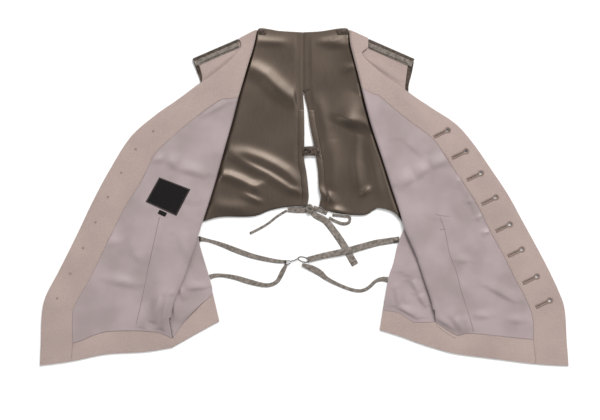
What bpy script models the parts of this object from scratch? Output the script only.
"""A women's waistcoat with a cropped back, laid open on a flat surface with its lining up.

Each front is folded out along a line from the neck to the hem, so its cloth lies in three
plies there: the side panel below, a hidden ply, and the open front on top of both. Lengths
in the tables are millimetres, +Y towards the neck and +Z up from the surface it lies on.
"""

import math
from collections import namedtuple

import bpy
from mathutils import Vector
from mathutils.bvhtree import BVHTree

MM = 0.001

# Driving sizes, in millimetres.
CLOTH = 1.0  # thickness of every cloth wall
GAP = 0.3  # between pieces that are sewn together
LEVEL = CLOTH + GAP  # each layer lies this much above the one below
FOLD_HEIGHT = 7.0  # middle of the open front's cloth, where it turns back
FLAT_HEIGHT = 4.4  # middle of the open front's cloth, away from the fold
WRAP = 12.0  # how far the lining goes under at the fold
DROP = 32.0  # the open front comes down to the surface over this length
SEAM = 0.2  # half the gap at a seam

BUTTONS = 8
BUTTON_SPACING = 42.6
BUTTON_RADIUS = 7.5
BUTTON_THICK = 2.0
BUTTON_INSET = 17.0  # from the front edge
BUTTON_FIRST = 196.0  # along the front edge from its neck end
BUTTON_LIFT = 2.3  # the left front lies this much higher over its buttons
LIFT_BLEND = 30.0  # and comes down again over this length

SHOULDER_STRIP = 13.0  # patterned cloth that comes over the shoulder
SLIT_FACING = 9.0  # dark satin turned in along the back's slit

# Each row crosses a front. facing: width of the cloth facing along the row. hidden: where the
# hidden ply ends. course: from the front edge to the fold.
Row = namedtuple("Row", "facing hidden course")

FRONT_LEFT = [
    Row(16, (-159.5, 200.5), [(-97.5, 237), (-71, 250.5)]),
    Row(14, (-155.5, 190), [(-96, 221), (-76, 226)]),
    Row(20, (-153, 176), [(-125.5, 191.5), (-85, 196)]),
    Row(45, (-158, 160), [(-164, 164.5), (-128, 146.5), (-99, 148)]),
    Row(42, (-171.5, 134.5), [(-192.5, 143.5), (-159.5, 125), (-108.5, 110.5)]),
    Row(42, (-189.5, 94), [(-222.5, 122.5), (-194, 94), (-120, 70)]),
    Row(45, (-216.5, 58), [(-260, 89.5), (-221, 63.5), (-132, 26.5)]),
    Row(50, (-237.5, 19), [(-291, 41), (-245, 21.5), (-143, -9.5)]),
    Row(48, (-234, -27.5), [(-316, -5.5), (-154.5, -44)]),
    Row(47, (-226.5, -74), [(-341, -58), (-296, -70.5), (-164, -75.5)]),
    Row(48, (-219.5, -123.5), [(-367.5, -111), (-320, -122), (-179, -119)]),
    Row(46, (-212, -156.5), [(-387.5, -149.5), (-342.5, -162.5), (-194, -156.5)]),
    Row(46, (-207.5, -180.5), [(-393.5, -177.5), (-254, -185), (-201.5, -180.5)]),
    Row(48, (-204.5, -212),
        [(-395, -219.5), (-347, -219.5), (-297, -202.5), (-228, -202.5), (-200, -212)]),
    Row(47, (-201.5, -225.5),
        [(-396.5, -253), (-349.5, -246.5), (-297, -236), (-239.5, -232.5), (-198.5, -226)]),
]
FRONT_RIGHT = [
    Row(10, (157, 203), [(95, 237.5), (67, 250)]),
    Row(10, (154.5, 194.5), [(94.5, 224), (68.5, 230.5)]),
    Row(5, (152.5, 179), [(86.5, 211), (73.5, 209)]),
    Row(14, (151, 165.5), [(118.5, 182.5), (81, 180.5)]),
    Row(39, (151.5, 152.5), [(148, 162.5), (110.5, 152), (85.5, 163)]),
    Row(39, (157, 139), [(167.5, 148), (131.5, 134), (92.5, 133)]),
    Row(39, (173.5, 118), [(191.5, 132.5), (160, 111.5), (100, 106)]),
    Row(42, (205, 91), [(227.5, 108.5), (193, 85), (109.5, 77.5)]),
    Row(47, (233.5, 61), [(253.5, 79), (214, 54), (118.5, 50.5)]),
    Row(48, (235, 13), [(281, 39.5), (240, 16), (130, 14.5)]),
    Row(49, (230.5, -23), [(305.5, 2.5), (260.5, -17.5), (142.5, -23)]),
    Row(51, (227.5, -53), [(325.5, -34), (278.5, -53), (151.5, -53)]),
    Row(51, (221.5, -89), [(345, -69.5), (298, -90.5), (166, -86)]),
    Row(52, (214, -123.5), [(364, -105.5), (310, -122.5), (178.5, -123.5)]),
    Row(52, (205.5, -152), [(381, -141.5), (326.5, -149), (188, -152)]),
    Row(50, (200.5, -168.5), [(390, -168.5), (340, -180.5), (245.5, -171.5), (192, -168.5)]),
    Row(50, (200.5, -188),
        [(393, -213.5), (343, -214), (251.5, -205), (227.5, -207.5), (199, -188)]),
    Row(49, (203.5, -228.5),
        [(396, -253.5), (347.5, -250.5), (287, -243), (229.5, -235.5), (203.5, -229.5)]),
]
# A side panel's rows, from its hidden outer edge to its free side edge. The last is the hem and
# the one before it the hem facing's seam.
SIDE_LEFT = [
    [(-241.5, 49), (-206, 42.5)],
    [(-236, -0.5), (-187, 0.5)],
    [(-231, -44), (-165.5, -45)],
    [(-228, -59.5), (-159, -59.5)],
    [(-225, -75.5), (-156, -75.5)],
    [(-220.5, -107), (-146, -109)],
    [(-215, -140), (-139, -134)],
    [(-204, -177.5), (-138, -142)],
    [(-198.5, -211), (-179.5, -187.5), (-158, -164.5), (-137, -146)],
    [(-197.5, -225.5), (-166, -207.5), (-147, -197), (-127.5, -186.5)],
]
SIDE_RIGHT = [
    [(238, 49), (203.5, 42.5)],
    [(233.5, -0.5), (182.5, 0.5)],
    [(229, -41), (152.8, -42.5)],
    [(226.5, -59), (144.5, -59)],
    [(223, -75.5), (139, -75.5)],
    [(218.5, -98), (134, -98)],
    [(212.5, -120.5), (126.5, -120.5)],
    [(204, -149), (121, -149)],
    [(196.5, -171.5), (118.5, -164.5)],
    [(197.5, -187), (181, -188.5), (162.5, -187.5), (143.5, -175.5), (131.5, -172), (117.5, -171)],
    [(202.5, -229), (173.5, -220), (143.5, -209), (113, -199.5)],
]
# A back half's rows: its outer edge (shoulder tip, armhole, side seam), and its course from the
# centre seam or slit to the fold.
BackRow = namedtuple("BackRow", "outer course")
BACK_LEFT = [
    BackRow((-166.3, 202), [(-2, 246.5), (-36.5, 248.5), (-51.5, 251), (-66, 252.8), (-70.8, 248.8)]),
    BackRow((-161.5, 188.5), [(-2, 223), (-75.5, 227.5)]),
    BackRow((-155.5, 169), [(-2, 193), (-84.5, 196)]),
    BackRow((-162.5, 142), [(-2, 157), (-96, 157)]),
    BackRow((-180.5, 112), [(-0.5, 130), (-104, 125.5)]),
    BackRow((-195.5, 91), [(0, 106), (-110, 103)]),
    BackRow((-204.5, 68.5), [(0, 79), (-117.5, 77.5)]),
    BackRow((-205, 44.5), [(0, 55), (-124.5, 52)]),
    BackRow((-197, 25), [(3, 37), (-131, 29.5)]),
    BackRow((-186.5, 1), [(5.5, 16), (-140, 1)]),
    BackRow((-174.5, -24.5), [(6.5, -0.5), (-66.5, -9.5), (-147.5, -21.5)]),
    BackRow((-165, -43),
            [(4.5, -14), (-26, -15.5), (-51.5, -20.5), (-77.5, -29.5), (-125, -30.5), (-151.5, -37)]),
]
BACK_RIGHT = [
    BackRow((164, 201.5), [(-1.5, 246.5), (24.5, 248), (46.5, 251.5), (62, 252.8), (67, 249.2)]),
    BackRow((161, 185.5), [(-1.5, 223), (69, 226)]),
    BackRow((156, 163), [(-1.5, 193), (77.5, 194.5)]),
    BackRow((160, 139), [(-0.5, 157), (87, 154)]),
    BackRow((179.5, 112), [(5, 130), (95.5, 122.5)]),
    BackRow((193, 91), [(8.5, 106), (101.5, 101.5)]),
    BackRow((202, 68.5), [(14, 79), (109, 79)]),
    BackRow((202, 44.5), [(18, 55), (118, 53.5)]),
    BackRow((194.5, 25), [(20.5, 37), (125.5, 29.5)]),
    BackRow((181, 1), [(21.5, 16), (134.5, 1)]),
    BackRow((164.5, -23), [(24.5, 1), (83.5, -11), (142.5, -21.5)]),
    BackRow((152, -40),
            [(22, -14), (44.5, -24), (86.5, -28), (103, -20.5), (115.5, -15), (131.5, -18), (146.5, -38)]),
]
# Soft folds of the linings: both ends, height and half width.
Crease = namedtuple("Crease", "x0 y0 x1 y1 height width")
BACK_CREASES = [
    Crease(-72, 195, -28, 165, 3.0, 10),
    Crease(-92, 72, -10, 28, 3.5, 12),
    Crease(-110, 38, -60, 18, 2.5, 9),
    Crease(55, 150, 70, 110, 2.5, 10),
    Crease(42, 85, 48, 25, 2.5, 9),
    Crease(30, 12, 60, -5, 2.5, 8),
]
FRONT_CREASES = [
    Crease(-214, -150, -222, -190, 2.5, 8),
    Crease(-296, -128, -250, -137, 1.8, 10),
    Crease(222, -190, 238, -170, 2.5, 8),
    Crease(272, -140, 312, -162, 1.8, 10),
]

# Narrow straps and ties: x, y, lower face's height and width along each.
Strap = namedtuple("Strap", "x y low width")
STRAPS = {
    "strap_left_upper": [
        Strap(-155.5, -63.5, 0, 8),
        Strap(-144.5, -65.5, 0, 5),
        Strap(-125, -71.5, 0, 6.5),
        Strap(-104.5, -79.5, 0, 8),
        Strap(-76, -89.5, 0, 7.5),
        Strap(-42.5, -96.5, 0, 6),
        Strap(-27, -97.2, 0, 4.5),
    ],
    "strap_left_lower": [
        Strap(-27, -101.8, 0, 4.5),
        Strap(-33, -113, 0, 7),
        Strap(-41, -127, 0, 6),
        Strap(-53, -132.5, 0, 6),
        Strap(-66.5, -131.5, 0, 7),
        Strap(-86, -126.5, 0, 8),
        Strap(-104.5, -121, 0, 7),
        Strap(-123.5, -118, 0, 5.5),
        Strap(-135.5, -118.5, 0, 6.5),
        Strap(-141.5, -120.5, 0, 7.5),
    ],
    "strap_right_upper": [
        Strap(5, -94.3, 1.6, 8),
        Strap(31, -88, 1.5, 9),
        Strap(61, -82, 1.6, 10),
        Strap(86.5, -75, 0.8, 10),
        Strap(107.5, -69.5, 0, 10),
        Strap(122.5, -67, 0, 9.5),
        Strap(139.5, -64.5, 0, 9),
    ],
    "strap_right_lower": [
        Strap(-3.5, -101.5, 1.6, 4.5),
        Strap(11.5, -107.5, 1.0, 9),
        Strap(23.5, -114.5, 0, 9.5),
        Strap(35.5, -124, 0, 6),
        Strap(61, -136, 0, 5),
        Strap(80, -141, 0, 5),
        Strap(91.5, -139, 0, 5),
        Strap(99.5, -133.5, 0, 5),
        Strap(107, -126.5, 0, 5),
        Strap(116.5, -123.5, 0, 7),
        Strap(125.3, -124.5, 0, 8.5),
    ],
    "tie_left_band": [
        Strap(-2, -19.9, 0, 10),
        Strap(-14, -19.9, 0, 9),
        Strap(-25, -19.6, 0, 7),
    ],
    "tie_left_end": [
        Strap(-26.3, -20.6, 0, 3.5),
        Strap(-41, -29.5, 0, 3.5),
        Strap(-58, -42.5, 0, 3.5),
        Strap(-81.5, -55, 0, 4),
    ],
    "tie_right_band": [
        Strap(17.6, -17.6, 0, 6.5),
        Strap(24, -20.1, 0, 7),
        Strap(34, -24.6, 0, 6.5),
    ],
    "tie_right_tail": [
        Strap(17, -29.5, 0, 9),
        Strap(32.5, -37, 0, 10),
        Strap(48, -56.5, 0, 10.5),
        Strap(61, -76, 0, 10.5),
        Strap(76, -102, 0, 10.5),
    ],
    "tie_loop": [
        Strap(37, -31, 0, 4),
        Strap(45, -36, 0, 4.5),
        Strap(58, -40.5, 0, 5),
        Strap(66, -37.5, 0, 4.5),
        Strap(68.5, -30, 0, 4),
    ],
    "slit_tab": [
        Strap(-3, 68, 3.9, 13),
        Strap(9, 68.5, 3.9, 14),
        Strap(22.5, 68, 3.9, 13),
    ],
}
LABEL = [(-217, 29), (-170.5, 11), (-191.5, -28.5), (-237.5, -7.5)]
SIZE_TAG = [(-216.5, -19.5), (-205.5, -24.5), (-208.5, -30), (-219.5, -25)]
# Ends of the shoulder seams, of the patterned cloth, which show at the neck's corners.
NECK_STAYS = {
    "left": [(-69.6, 250.6), (-55.5, 249.2), (-58, 242.2), (-69.6, 242)],
    "right": [(65.6, 250.8), (47, 250), (50, 242.5), (65.6, 242)],
}

COLOURS = {
    "wool": ((0.44, 0.35, 0.31), 0.85, 0.0),
    "lining": ((0.43, 0.36, 0.36), 0.45, 0.0),
    "back_satin": ((0.12, 0.09, 0.07), 0.3, 0.0),
    "patterned_cloth": ((0.26, 0.23, 0.2), 0.7, 0.0),
    "label_cloth": ((0.012, 0.01, 0.01), 0.6, 0.0),
    "button_horn": ((0.3, 0.24, 0.2), 0.4, 0.0),
    "dark_metal": ((0.03, 0.03, 0.035), 0.35, 1.0),
}

for thing in list(bpy.data.objects):
    bpy.data.objects.remove(thing, do_unlink=True)


def material(slot):
    """The material of one slot, made once."""
    made = bpy.data.materials.get(slot)
    if made:
        return made
    colour, roughness, metallic = COLOURS[slot]
    made = bpy.data.materials.new(slot)
    made.use_nodes = True
    shader = made.node_tree.nodes["Principled BSDF"]
    shader.inputs["Base Color"].default_value = (*colour, 1.0)
    shader.inputs["Roughness"].default_value = roughness
    shader.inputs["Metallic"].default_value = metallic
    return made


def solid(name, points, triangles, slot):
    """One closed solid from points in millimetres, its faces turned outward."""
    volume = sum(points[a].dot(points[b].cross(points[c])) for a, b, c in triangles)
    if volume < 0:
        triangles = [(a, c, b) for a, b, c in triangles]
    mesh = bpy.data.meshes.new(name)
    mesh.from_pydata([tuple(p * MM) for p in points], [], triangles)
    mesh.materials.append(material(slot))
    piece = bpy.data.objects.new(name, mesh)
    bpy.context.scene.collection.objects.link(piece)
    return piece


def wall(name, low, high, cells, slot):
    """A closed wall between two grids of points, over the given cells (row, column)."""
    index, points, triangles = {}, [], []

    def corner(row, column, layer):
        key = (row, column, layer)
        if key not in index:
            index[key] = len(points)
            points.append((low, high)[layer][row][column])
        return index[key]

    def quad(a, b, c, d):
        triangles.extend([(a, b, c), (a, c, d)])

    cells = set(cells)
    for row, column in sorted(cells):
        ring = [(row, column), (row, column + 1), (row + 1, column + 1), (row + 1, column)]
        quad(*(corner(*at, 1) for at in ring))
        quad(*(corner(*ring[i], 0) for i in (0, 3, 2, 1)))
        beside = [(row - 1, column), (row, column + 1), (row + 1, column), (row, column - 1)]
        for side, neighbour in enumerate(beside):
            if neighbour not in cells:
                start, end = ring[side], ring[(side + 1) % 4]
                quad(corner(*start, 0), corner(*end, 0), corner(*end, 1), corner(*start, 1))
    return solid(name, points, triangles, slot)


def smooth(t):
    t = min(1.0, max(0.0, t))
    return t * t * (3 - 2 * t)


def spline(points, at):
    """The smooth curve through some points, at a place counted in points."""
    last = len(points) - 1
    i = min(int(at), last - 1)
    t = at - i
    a, b, c, d = (points[min(max(j, 0), last)] for j in (i - 1, i, i + 1, i + 2))
    return 0.5 * (2 * b + (c - a) * t + (2 * a - 5 * b + 4 * c - d) * t**2 + (3 * (b - c) + d - a) * t**3)


class Course:
    """A smooth line in plan, read by its length in millimetres."""

    def __init__(self, points, fine=12):
        points = [Vector(p) for p in points]
        spans = len(points) - 1
        self.line = [spline(points, k / fine) for k in range(spans * fine + 1)]
        self.reach = [0.0]
        for a, b in zip(self.line, self.line[1:]):
            self.reach.append(self.reach[-1] + (b - a).length)
        self.length = self.reach[-1]

    def at(self, distance):
        k = 0
        while k < len(self.line) - 2 and self.reach[k + 1] < distance:
            k += 1
        share = (distance - self.reach[k]) / (self.reach[k + 1] - self.reach[k])
        return self.line[k].lerp(self.line[k + 1], share)

    def heading(self, distance):
        step = 0.5
        return (self.at(distance + step) - self.at(distance - step)).normalized()


def raised(creases, x, y):
    """How far the soft folds lift the cloth at a place."""
    best = 0.0
    for c in creases:
        along, place = Vector((c.x1 - c.x0, c.y1 - c.y0)), Vector((x - c.x0, y - c.y0))
        t = min(1.0, max(0.0, place.dot(along) / along.length_squared))
        aside = (place - along * t).length
        best = max(best, c.height * math.exp(-((aside / c.width) ** 2)))
    return best


def offset_grid(rows, distance, creases=(), ground=0.0):
    """Grid points moved out along their normals, and up where the cloth is creased."""
    made = []
    for row in rows:
        made.append([])
        for p, n in row:
            upward = n.z > 0.5
            place = p + n * (distance + (raised(creases, p.x, p.y) if upward else 0.0))
            if upward:
                place.z = max(place.z, ground + distance)
            made[-1].append(place)
    return made


def between_rows(rows, doubled):
    """Adds a row halfway between table rows, but not across a seam's gap."""
    made, places = [], []
    for i, row in enumerate(rows):
        places.append(len(made))
        made.append(row)
        if i + 1 < len(rows) and i not in doubled:
            half = []
            for c in range(len(row)):
                p = spline([r[c][0] for r in rows], i + 0.5)
                n = (row[c][1] + rows[i + 1][c][1]).normalized()
                half.append((p, n))
            made.append(half)
    return made, places


# A front's columns: the edge, two beside the buttons, both sides of the facing's seam, the
# lining, the round of the fold, and the hidden ply.
FACING_SHARES = (0.0, 0.17, 0.54)
LINING_SHARES = (0.25, 0.5, 0.75, 1.0)
COLUMN_LIFTS = (0.43, 1.0, 1.0)  # shares of the lift, from the front edge inwards
ROUND_STEPS = 4
SEAM_COLUMN = len(FACING_SHARES)
FOLD_COLUMN = SEAM_COLUMN + 1 + len(LINING_SHARES)
HIDDEN_COLUMN = FOLD_COLUMN + ROUND_STEPS
LAST_COLUMN = HIDDEN_COLUMN + 3
SIDE_COLUMNS = 4
HIDDEN_LEVEL = 36.0  # past this distance from the fold the hidden ply lies level
FOLD_ROUND = 3.1  # from the fold's outer line to the centre of its round
FLAT_ROUND = 0.2  # the same beyond the hidden ply, where the cloth lies flat
LIFTED_TO = 10.0  # the lining lifts the hidden ply this far from the fold
LIFTED_RUN = 25.0  # and the ply comes down over this length
FOLD_RISE = 45.0  # the open front is raised over this distance from the fold
HEM_ROWS = 2  # rows at the hem where the front no longer folds
EDGE_RUN = 4.0  # the open front starts down this much before the hidden ply ends


def open_height(w, hidden, share):
    """Middle height of the open front's cloth, at a distance from the fold."""
    stacked = FLAT_HEIGHT + (FOLD_HEIGHT - FLAT_HEIGHT) * (1 - smooth(w / FOLD_RISE))
    down = smooth((w - hidden + EDGE_RUN) / DROP)
    return CLOTH / 2 + (stacked - CLOTH / 2) * (1 - down) * share


def hidden_height(w):
    """Middle height of the hidden ply, which the lining lifts near the fold."""
    lifted = 1 - smooth((w - LIFTED_TO) / LIFTED_RUN)
    return 2 * LEVEL + CLOTH / 2 + LEVEL * lifted


def front_row(row, share, lift):
    """One row of a front as (point, outward normal) pairs."""
    course = Course(row.course)
    length = course.length
    fold = Vector(row.course[-1])
    under = Vector(row.hidden) - fold
    hidden = under.length
    under.normalize()
    inner = FOLD_ROUND if share else FLAT_ROUND
    stations = [length - s * row.facing for s in FACING_SHARES]
    seam = length - row.facing
    stations += [seam + SEAM, seam - SEAM]
    stations += [seam - SEAM + (inner - seam + SEAM) * s for s in LINING_SHARES]
    section = []
    for i, w in enumerate(stations):
        z = open_height(w, hidden, share)
        if i < len(COLUMN_LIFTS):
            z += lift * COLUMN_LIFTS[i]
        section.append((w, z, course.at(length - w), -course.heading(length - w)))
    top = section[-1]
    low_height = hidden_height(inner) if share else top[1] - CLOTH
    radius = (top[1] - low_height) / 2
    for k in range(1, ROUND_STEPS):
        turn = math.pi * k / ROUND_STEPS
        w = inner - radius * math.sin(turn)
        z = low_height + radius * (1 + math.cos(turn))
        section.append((w, z, course.at(length - w).lerp(fold + under * w, k / ROUND_STEPS), under))
    wrap = min(WRAP, hidden - 1.5)
    for w in (inner, wrap, min(HIDDEN_LEVEL, (wrap + hidden) / 2), hidden):
        section.append((w, hidden_height(w) if share else low_height, fold + under * w, under))
    made = []
    for i, (w, z, place, out) in enumerate(section):
        before, after = section[max(i - 1, 0)], section[min(i + 1, len(section) - 1)]
        dw, dz = after[0] - before[0], after[1] - before[1]
        size = math.hypot(dw, dz)
        made.append((Vector((*place, z)), Vector((*(out * dz / size), -dw / size))))
    return made


def moved(row, dy):
    """A table row moved along Y, for the two sides of a seam."""
    shift = Vector((0, dy))
    return Row(row.facing, row.hidden, [tuple(Vector(p) + shift) for p in row.course])


def front_grid(table, neck_row, buttons):
    """A whole front's grid, and the grid rows of its two cross seams."""
    first = BUTTON_FIRST - 2 * BUTTON_RADIUS - LIFT_BLEND
    last = BUTTON_FIRST + BUTTON_SPACING * (BUTTONS - 1) + 2 * BUTTON_RADIUS + LIFT_BLEND
    rows, doubled = [], []
    reach = 0.0
    for i, row in enumerate(table):
        if i:
            reach += (Vector(row.course[0]) - Vector(table[i - 1].course[0])).length
        share = 0.0 if i >= len(table) - HEM_ROWS else 1.0
        lift = 0.0
        if buttons:
            lift = BUTTON_LIFT * smooth((reach - first) / LIFT_BLEND) * smooth((last - reach) / LIFT_BLEND)
        if i in (neck_row, len(table) - 2):
            doubled.append(len(rows))
            rows.append(front_row(moved(row, SEAM), share, lift))
            rows.append(front_row(moved(row, -SEAM), share, lift))
        else:
            rows.append(front_row(row, share, lift))
    grid, places = between_rows(rows, doubled)
    neck_seam, hem_seam = (places[d] for d in doubled)
    wrap_end = places[doubled[1] - 1]
    return grid, neck_seam, hem_seam, wrap_end


def block(rows, columns):
    """The cells from one row and column up to another."""
    return [(r, c) for r in range(*rows) for c in range(*columns)]


def side_grid(table):
    """A side panel's grid, and the grid row of its hem facing's seam."""
    rows = []
    seam_row = len(table) - 2
    for i, points in enumerate(table):
        course = Course(points)
        places = [course.at(course.length * k / SIDE_COLUMNS) for k in range(SIDE_COLUMNS + 1)]
        for dy in (SEAM, -SEAM) if i == seam_row else (0.0,):
            rows.append([(Vector((p.x, p.y + dy, CLOTH / 2)), Vector((0, 0, 1))) for p in places])
    grid, places = between_rows(rows, [seam_row])
    return grid, places[seam_row]


def make_front(side, table, side_table, neck_row, buttons):
    """The front's wool, facing, lining and hem facing, and its side panel."""
    grid, neck, hem, wrap_end = front_grid(table, neck_row, buttons)
    panel, panel_hem = side_grid(side_table)
    last = len(grid) - 1
    ground = CLOTH / 2
    low, high = offset_grid(grid, -CLOTH / 2, (), ground), offset_grid(grid, CLOTH / 2, (), ground)
    wool = block((0, wrap_end), (0, LAST_COLUMN)) + block((wrap_end, last), (0, FOLD_COLUMN))
    wall(f"front_{side}", low, high, wool, "wool")

    inner, outer = CLOTH / 2 + GAP, CLOTH / 2 + LEVEL
    over, top = offset_grid(grid, inner, (), ground), offset_grid(grid, outer, (), ground)
    facing = block((0, neck), (0, HIDDEN_COLUMN + 1)) + block((neck, last), (0, SEAM_COLUMN))
    wall(f"front_facing_{side}", over, top, facing, "wool")

    lining_low = offset_grid(grid, inner, FRONT_CREASES, ground)
    lining_top = offset_grid(grid, outer, FRONT_CREASES, ground)
    lining = block((neck + 1, wrap_end), (SEAM_COLUMN + 1, HIDDEN_COLUMN + 1))
    lining += block((wrap_end, hem), (SEAM_COLUMN + 1, FOLD_COLUMN))
    laid = wall(f"front_lining_{side}", lining_low, lining_top, lining, "lining")

    whole = block((0, len(panel) - 1), (0, SIDE_COLUMNS))
    wall(f"side_panel_{side}", offset_grid(panel, -CLOTH / 2), offset_grid(panel, CLOTH / 2), whole, "wool")
    panel_over, panel_top = offset_grid(panel, inner), offset_grid(panel, outer)
    wall(f"side_lining_{side}", panel_over, panel_top, block((0, panel_hem), (0, SIDE_COLUMNS)), "lining")

    hem_low, hem_top = [], []
    for row in range(hem + 1, last + 1):
        across = slice(SEAM_COLUMN + 1, FOLD_COLUMN + 1)
        side_row = row - hem + panel_hem
        hem_low.append(over[row][across] + panel_over[side_row])
        hem_top.append(top[row][across] + panel_top[side_row])
    band = block((0, len(hem_low) - 1), (0, len(hem_low[0]) - 1))
    wall(f"hem_facing_{side}", hem_low, hem_top, band, "wool")
    return laid


# A back half's columns: centre, slit facing's edge, the seen cloth and the part under the front.
BACK_SHARES = (0.0, 0.17, 0.34, 0.5, 0.67, 0.84, 1.0)
UNDER_SHARES = (0.3, 1.0)
SLIT_ROW = 4  # table row at the slit's top
CALM = 3.0  # rows over which the lining's folds fade at the neck and hem


def make_back(side, table):
    """One half of the back: its shell, lining, and the facing of its slit."""
    grid = []
    for row in table:
        course = Course(row.course)
        fold, outer = course.at(course.length), Vector(row.outer)
        places = [course.at(0.0)]
        places += [course.at(SLIT_FACING + (course.length - SLIT_FACING) * s) for s in BACK_SHARES]
        places += [fold.lerp(outer, s) for s in UNDER_SHARES]
        grid.append([(Vector((*p, 0.0)), Vector((0, 0, 1))) for p in places])
    columns = len(grid[0]) - 1
    every = block((0, len(grid) - 1), (0, columns))
    wall(f"back_shell_{side}", offset_grid(grid, 0.0), offset_grid(grid, CLOTH), every, "patterned_cloth")
    low, top = offset_grid(grid, LEVEL), offset_grid(grid, LEVEL + CLOTH)
    for r, row in enumerate(grid):
        fade = smooth(r / CALM) * smooth((len(grid) - 1 - r) / CALM)
        for c in range(2, len(BACK_SHARES)):
            place = row[c][0]
            lift = raised(BACK_CREASES, place.x, place.y) * fade
            low[r][c].z += lift
            top[r][c].z += lift
    wall(f"back_lining_{side}", low, top, every, "back_satin")
    slit = block((SLIT_ROW, len(grid) - 1), (0, 1))
    low, top = offset_grid(grid, 2 * LEVEL), offset_grid(grid, 2 * LEVEL + CLOTH)
    wall(f"slit_facing_{side}", low, top, slit, "back_satin")


# Section of the cloth that comes over the shoulder: distance in from the shoulder's edge, height.
STRIP_SECTION = ((0.5, 0.1), (0.5, 3.2), (0.8, 4.2), (1.8, 4.55), (7.0, 4.55), (SHOULDER_STRIP, 4.55))
STRIP_STEPS = 4


def shoulder_strip(side, tip, inner):
    """Patterned cloth of the back that comes over the shoulder edge onto the front."""
    tip, inner = Vector(tip), Vector(inner)
    along = (inner - tip).normalized()
    inward = Vector((along.y, -along.x))
    if inward.y > 0:
        inward.negate()
    last = len(STRIP_SECTION) - 1
    low, high = [], []
    for step in range(STRIP_STEPS + 1):
        share = step / STRIP_STEPS
        place = tip.lerp(inner, share)
        slant = along * (inward.x / along.x * share)
        rows = [], []
        for i, (u, z) in enumerate(STRIP_SECTION):
            before, after = STRIP_SECTION[max(i - 1, 0)], STRIP_SECTION[min(i + 1, last)]
            du, dz = after[0] - before[0], after[1] - before[1]
            size = math.hypot(du, dz)
            for k, half in enumerate((-CLOTH / 2, CLOTH / 2)):
                at = place + (inward - slant) * (u - half * dz / size)
                rows[k].append(Vector((*at, z + half * du / size)))
        low.append(rows[0])
        high.append(rows[1])
    wall(f"shoulder_strip_{side}", low, high, block((0, STRIP_STEPS), (0, last)), "patterned_cloth")


STRAP_THICK = 1.2


def strap(name, table, slot, thick, fine=2):
    """A flat strap swept along a smooth line."""
    values = [Vector(row) for row in table]
    count = (len(table) - 1) * fine
    rows = [spline(values, k / fine) for k in range(count + 1)]
    low, high = [], []
    for k, row in enumerate(rows):
        ahead, behind = rows[min(k + 1, count)], rows[max(k - 1, 0)]
        along = Vector((ahead[0] - behind[0], ahead[1] - behind[1])).normalized()
        across = Vector((-along.y, along.x)) * row[3] / 2
        middle = Vector((row[0], row[1]))
        edges = [middle - across, middle + across]
        low.append([Vector((*p, max(row[2], 0.0))) for p in edges])
        high.append([Vector((*p, max(row[2], 0.0) + thick)) for p in edges])
    return wall(name, low, high, block((0, count), (0, 1)), slot)


def laid_patch(name, corners, surface, steps, slot):
    """A flat patch sewn on a lining, following its surface."""
    a, b, c, d = (Vector(p) for p in corners)
    tree = BVHTree.FromPolygons(
        [v.co for v in surface.data.vertices], [tuple(f.vertices) for f in surface.data.polygons])
    low, high = [], []
    for r in range(steps + 1):
        rows = [], []
        for k in range(steps + 1):
            place = a.lerp(b, k / steps).lerp(d.lerp(c, k / steps), r / steps)
            hit = tree.ray_cast(Vector((*place, 50)) * MM, Vector((0, 0, -1)))[0]
            height = hit.z / MM + GAP
            rows[0].append(Vector((*place, height)))
            rows[1].append(Vector((*place, height + CLOTH)))
        low.append(rows[0])
        high.append(rows[1])
    wall(name, low, high, block((0, steps), (0, steps)), slot)


def disc(name, centre, radius, thick, slot, sides=16):
    """A button: a disc with a softened rim, flat on the surface."""
    rings = [(radius - 0.5, 0.0), (radius, 0.5), (radius, thick - 0.5), (radius - 0.5, thick)]
    points, triangles = [], []
    for r, z in rings:
        for k in range(sides):
            turn = 2 * math.pi * k / sides
            points.append(Vector((centre.x + r * math.cos(turn), centre.y + r * math.sin(turn), z)))
    for ring in range(len(rings) - 1):
        for k in range(sides):
            a, b = ring * sides + k, ring * sides + (k + 1) % sides
            triangles += [(a, b, b + sides), (a, b + sides, a + sides)]
    top = (len(rings) - 1) * sides
    for k in range(1, sides - 1):
        triangles += [(0, k + 1, k), (top, top + k, top + k + 1)]
    solid(name, points, triangles, slot)


def wire(name, path, radius, closed=False, sides=8, slot="dark_metal"):
    """Round wire bent along a path of points."""
    count = len(path)
    points, triangles = [], []
    for i, place in enumerate(path):
        ahead = path[(i + 1) % count] if closed else path[min(i + 1, count - 1)]
        behind = path[i - 1] if closed else path[max(i - 1, 0)]
        along = (ahead - behind).normalized()
        aside = along.cross(Vector((0, 0, 1))).normalized()
        up = aside.cross(along)
        for k in range(sides):
            turn = 2 * math.pi * k / sides
            points.append(place + (aside * math.cos(turn) + up * math.sin(turn)) * radius)
    for i in range(count if closed else count - 1):
        for k in range(sides):
            a, b = i * sides + k, i * sides + (k + 1) % sides
            c, d = (a + sides) % (count * sides), (b + sides) % (count * sides)
            triangles += [(a, b, d), (a, d, c)]
    if not closed:
        end = (count - 1) * sides
        for k in range(1, sides - 1):
            triangles += [(0, k + 1, k), (end, end + k, end + k + 1)]
    return solid(name, points, triangles, slot)


def oval(centre, half, height, turn=0.0, start=0.0, end=360.0, steps=16):
    """Points round an oval in plan, from one angle to another in degrees."""
    whole = end - start >= 360
    made = []
    for k in range(steps if whole else steps + 1):
        a = math.radians(start + (end - start) * k / steps)
        x, y = half[0] * math.cos(a), half[1] * math.sin(a)
        c, s = math.cos(turn), math.sin(turn)
        made.append(Vector((centre[0] + x * c - y * s, centre[1] + x * s + y * c, height)))
    return made


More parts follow.
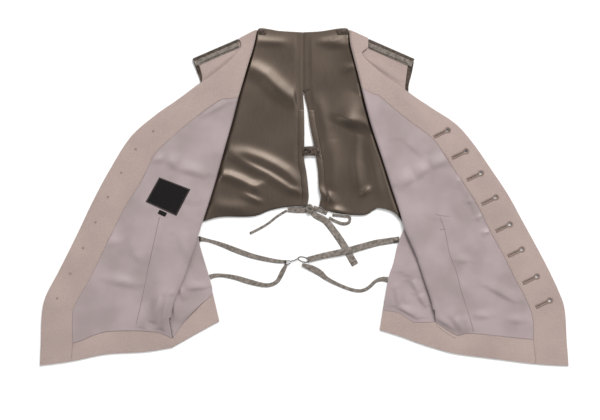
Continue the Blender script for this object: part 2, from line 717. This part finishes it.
def knot(name, centre, size, slot, around=12, rings=6):
    """A tied knot as a squat rounded lump, flat below."""
    points, triangles = [], []
    for r in range(rings + 1):
        tilt = math.pi / 2 * r / rings
        for k in range(around):
            turn = 2 * math.pi * k / around
            pinch = 1 + 0.12 * math.cos(3 * turn + 0.6)
            reach = max(math.cos(tilt), 0.12) * pinch
            points.append(Vector((centre[0] + size[0] * reach * math.cos(turn),
                                  centre[1] + size[1] * reach * math.sin(turn),
                                  size[2] * math.sin(tilt))))
    for r in range(rings):
        for k in range(around):
            a, b = r * around + k, r * around + (k + 1) % around
            triangles += [(a, b, b + around), (a, b + around, a + around)]
    top = rings * around
    for k in range(1, around - 1):
        triangles += [(0, k + 1, k), (top, top + k, top + k + 1)]
    solid(name, points, triangles, slot)


left_lining = make_front("left", FRONT_LEFT, SIDE_LEFT, 3, True)
left_edge = Course([row.course[0] for row in FRONT_LEFT])
make_front("right", FRONT_RIGHT, SIDE_RIGHT, 4, False)
make_back("left", BACK_LEFT)
make_back("right", BACK_RIGHT)
shoulder_strip("left", (-167.5, 207), (-98.6, 236.8))
shoulder_strip("right", (165, 206.5), (96.2, 236.6))
for side, corners in NECK_STAYS.items():
    low = [[Vector((*p, 2 * LEVEL)) for p in corners[:2]], [Vector((*p, 2 * LEVEL)) for p in corners[:1:-1]]]
    high = [[p + Vector((0, 0, CLOTH)) for p in row] for row in low]
    wall(f"neck_stay_{side}", low, high, [(0, 0)], "patterned_cloth")
laid_patch("label", LABEL, left_lining, 4, "label_cloth")
laid_patch("size_tag", SIZE_TAG, left_lining, 2, "label_cloth")
for number in range(BUTTONS):
    along = BUTTON_FIRST + BUTTON_SPACING * number
    heading = left_edge.heading(along)
    inward = Vector((-heading.y, heading.x))
    place = left_edge.at(along) + inward * BUTTON_INSET
    disc(f"button_{number + 1}", place, BUTTON_RADIUS, BUTTON_THICK, "button_horn")
for name, table in STRAPS.items():
    strap(name, table, "patterned_cloth", CLOTH if name == "slit_tab" else STRAP_THICK)
knot("tie_knot", (9.0, -20.5), (6.0, 8.0, 6.0), "patterned_cloth")
wire("belt_ring", oval((-1.2, -94.0), (8.6, 3.6), 0.65, -0.25), 0.6, closed=True)
# The belt hook's bill reaches over the ring, and its eye is sewn on the straps' left ends.
bill = [(-9, -92.8, 3.0), (-11.5, -93.4, 2.6), (-15, -95.2, 2.3), (-20, -96.6, 2.2)]
wire("belt_hook", [Vector(p) for p in bill] + oval((-25.0, -98.5), (4.6, 2.6), 2.2, 0.1, 20, 330, 12), 0.65)
wire("slit_hook", oval((4.5, 68.5), (5.5, 2.4), 5.9, 0.0, 20, 340, 14), 0.6)
